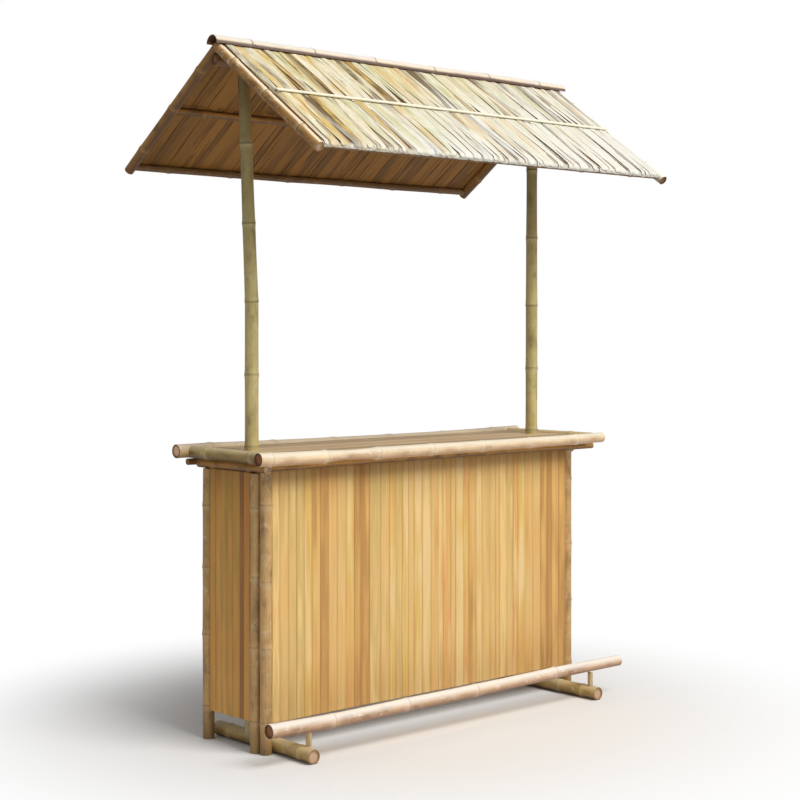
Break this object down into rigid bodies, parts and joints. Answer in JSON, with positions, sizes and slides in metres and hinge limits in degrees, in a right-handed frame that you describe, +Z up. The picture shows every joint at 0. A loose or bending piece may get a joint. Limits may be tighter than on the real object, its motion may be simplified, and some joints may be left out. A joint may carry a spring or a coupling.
{
  "type": "tiki bar hut",
  "caption": "Free-standing bamboo bar counter with slatted panels, a footrest pole and a gabled leaf-thatched roof on two tall posts.",
  "frame": {"origin": "on the floor under the middle of the ridge, which is the bottom centre of the bounding box", "axes": "+X along the counter, from left to right as a customer faces it; +Y from the customers' side to the barkeeper's side; +Z up"},
  "size_m": [1.8234, 1.1638, 2.5431],
  "materials": {
    "frame_bamboo": "bamboo culm, weathered brown, satin",
    "edge_bamboo": "bamboo culm, lacquered, satin",
    "green_bamboo": "bamboo culm, olive, satin",
    "roof_bamboo": "bamboo culm, weathered, matte",
    "panel_slats": "lacquered slats, satin",
    "top_slats": "lacquered slats, satin",
    "leaf_thatch": "dried leaf strips, matte",
    "hardwood_peg": "turned hardwood, matte"
  },
  "bodies": {
    "root": {"back_eave_pole": "roof_bamboo", "back_head_pole": "roof_bamboo", "back_left_rafter": "roof_bamboo", "back_lower_thatch": "leaf_thatch", "back_purlin": "roof_bamboo", "back_right_rafter": "roof_bamboo", "back_stretcher": "frame_bamboo", "back_support_pole": "frame_bamboo", "back_top_batten": "roof_bamboo", "back_upper_thatch": "leaf_thatch", "corner_pegs": "hardwood_peg", "counter_back_rim": "edge_bamboo", "counter_front_rim": "edge_bamboo", "counter_left_batten": "frame_bamboo", "counter_left_rim": "edge_bamboo", "counter_middle_batten": "frame_bamboo", "counter_right_batten": "frame_bamboo", "counter_right_rim": "edge_bamboo", "counter_top_slats": "top_slats", "footrest_pole": "edge_bamboo", "front_bottom_rail": "frame_bamboo", "front_eave_pole": "roof_bamboo", "front_head_pole": "roof_bamboo", "front_left_post": "frame_bamboo", "front_left_rafter": "roof_bamboo", "front_lower_thatch": "leaf_thatch", "front_middle_rail": "frame_bamboo", "front_purlin": "roof_bamboo", "front_right_post": "frame_bamboo", "front_right_rafter": "roof_bamboo", "front_slats": "panel_slats", "front_support_pole": "frame_bamboo", "front_top_batten": "roof_bamboo", "front_top_rail": "frame_bamboo", "front_upper_thatch": "leaf_thatch", "left_bearer": "frame_bamboo", "left_footrest_peg": "hardwood_peg", "left_roof_post": "green_bamboo", "left_side_back_post": "frame_bamboo", "left_side_bottom_rail": "frame_bamboo", "left_side_front_post": "frame_bamboo", "left_side_middle_rail": "frame_bamboo", "left_side_slats": "panel_slats", "left_side_top_rail": "frame_bamboo", "left_skid": "edge_bamboo", "ridge_cap": "roof_bamboo", "ridge_pegs": "hardwood_peg", "ridge_pole": "roof_bamboo", "right_bearer": "frame_bamboo", "right_footrest_peg": "hardwood_peg", "right_roof_post": "green_bamboo", "right_side_back_post": "frame_bamboo", "right_side_bottom_rail": "frame_bamboo", "right_side_front_post": "frame_bamboo", "right_side_middle_rail": "frame_bamboo", "right_side_slats": "panel_slats", "right_side_top_rail": "frame_bamboo", "right_skid": "edge_bamboo", "rim_pegs": "hardwood_peg", "skid_pegs": "hardwood_peg"}
  },
  "joints": []
}
